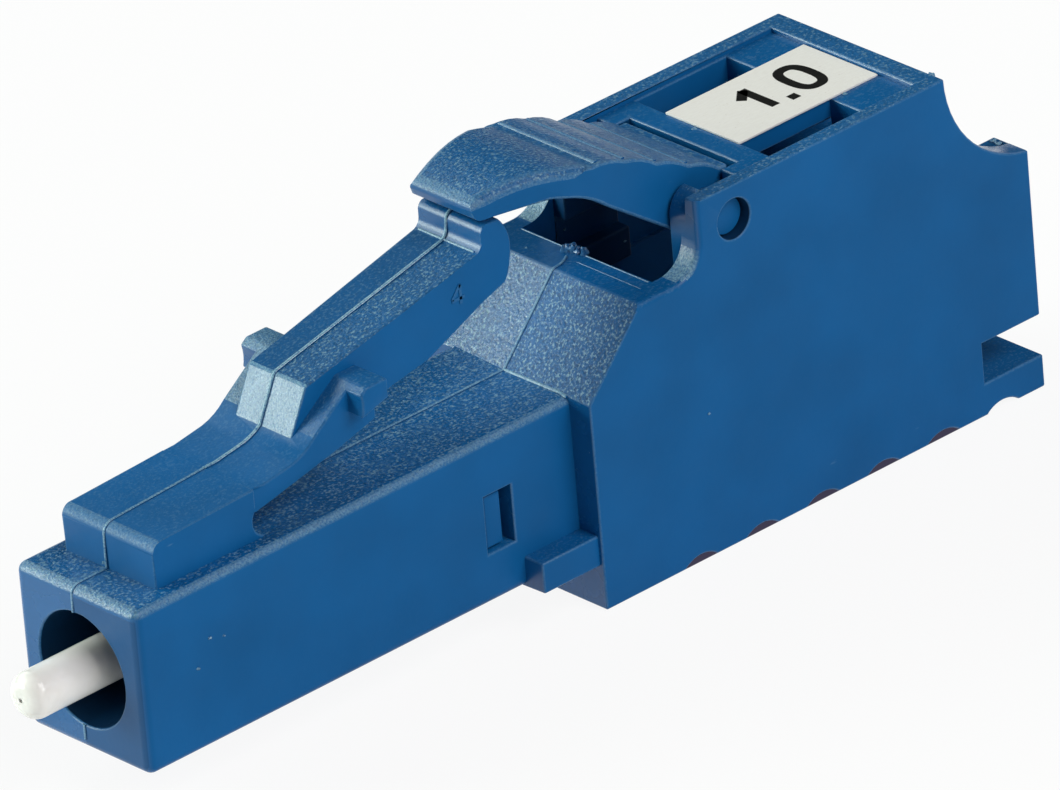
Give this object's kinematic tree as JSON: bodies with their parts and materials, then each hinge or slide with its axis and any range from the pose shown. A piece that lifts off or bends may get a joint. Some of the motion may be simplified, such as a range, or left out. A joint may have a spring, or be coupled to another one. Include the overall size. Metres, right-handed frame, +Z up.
{
  "type": "fibre attenuator",
  "caption": "Plug-in fibre attenuator with a latched square plug and ceramic ferrule at the front, a port for the mating plug at the rear and a hinged trigger above the latch.",
  "frame": {"origin": "centre of the bounding box's footprint, on the plane of the flat underside", "axes": "+X along the ferrule's axis from the plug's nose to the rear port, +Y across the housing, +Z up through the latch and the trigger"},
  "size_m": [0.0316, 0.006, 0.0116],
  "materials": {
    "blue_plastic": "satin moulded, with a fine eroded grain on the upper faces",
    "white_ceramic": "polished",
    "fibre_glass": "polished",
    "plated_metal": "nickel plated",
    "spring_steel": "drawn wire",
    "label_paper": "printed strip"
  },
  "bodies": {
    "housing": {"housing": "blue_plastic", "sleeve_holder": "blue_plastic", "split_sleeve": "white_ceramic", "label": "label_paper", "spring": "spring_steel"},
    "latch": {"latch_arm": "blue_plastic"},
    "trigger": {"trigger_lever": "blue_plastic"},
    "stub": {"ferrule": "white_ceramic", "attenuating_fibre": "fibre_glass", "ferrule_flange": "plated_metal"}
  },
  "joints": [
    {"name": "trigger_press", "type": "hinge", "parent": "housing", "child": "trigger", "pos_m": [0.00581, 0, 0.00876], "axis": [0, 1, 0], "range_deg": [-12, 0], "stiffness_Nm_per_rad": 0.000004, "springref_deg": 34.38},
    {"name": "latch_flex", "type": "hinge", "parent": "housing", "child": "latch", "pos_m": [-0.00886, 0, 0.00676], "axis": [0, 1, 0], "range_deg": [0, 9], "stiffness_Nm_per_rad": 0.00002, "springref_deg": -14.32},
    {"name": "ferrule_float", "type": "slide", "parent": "housing", "child": "stub", "axis": [1, 0, 0], "range_m": [0, 0.0005], "stiffness_N_per_m": 500, "springref_m": -0.002, "deforming": ["spring"]}
  ],
  "couplings": [
    {"joint": "latch_flex", "follows": "trigger_press", "ratio": -0.717}
  ]
}
